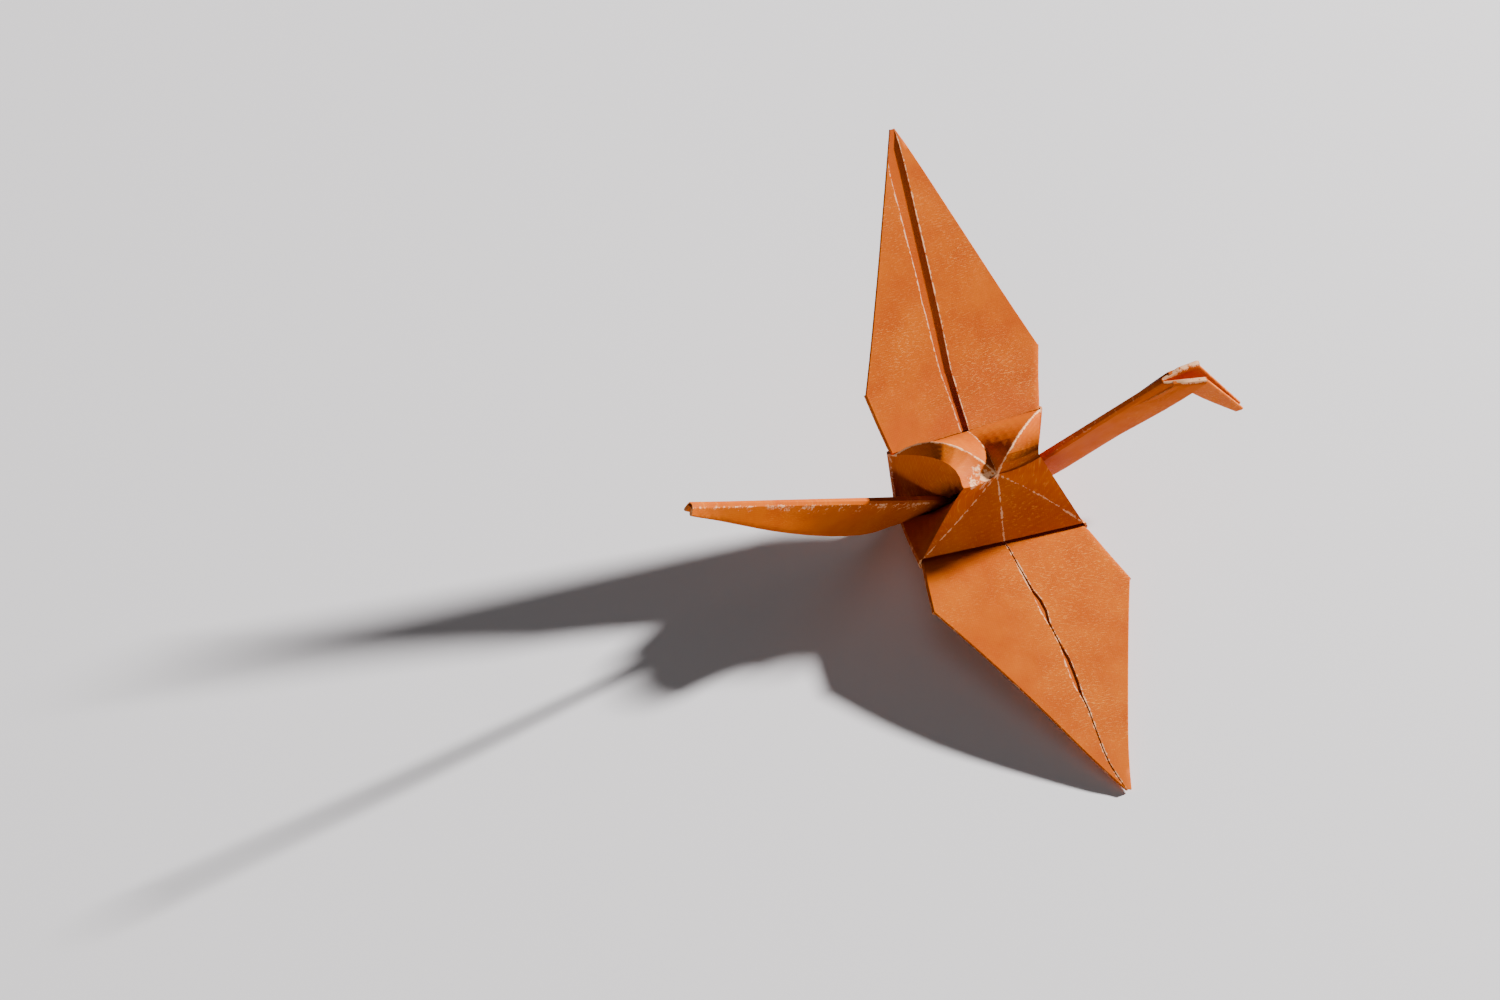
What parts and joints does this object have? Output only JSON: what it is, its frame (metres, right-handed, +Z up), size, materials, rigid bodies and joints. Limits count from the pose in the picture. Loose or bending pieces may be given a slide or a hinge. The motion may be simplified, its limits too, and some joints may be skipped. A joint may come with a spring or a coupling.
{
  "type": "origami crane",
  "caption": "Paper crane folded from one uncut square of orange paper, with spread wings, an opened hump, a raised neck with bent head, and a raised tail.",
  "frame": {"origin": "bottom centre of the crane's box, on the surface it stands on", "axes": "+X towards the neck and head, -Y towards the low wing, +Y towards the raised wing, +Z up"},
  "size_m": [0.0626, 0.0626, 0.0319],
  "materials": {
    "orange_paper": "satin, faint fibre sparkle, white where creases and cut edges are worn"
  },
  "bodies": {
    "root": {"origami_crane": "orange_paper"}
  },
  "joints": []
}
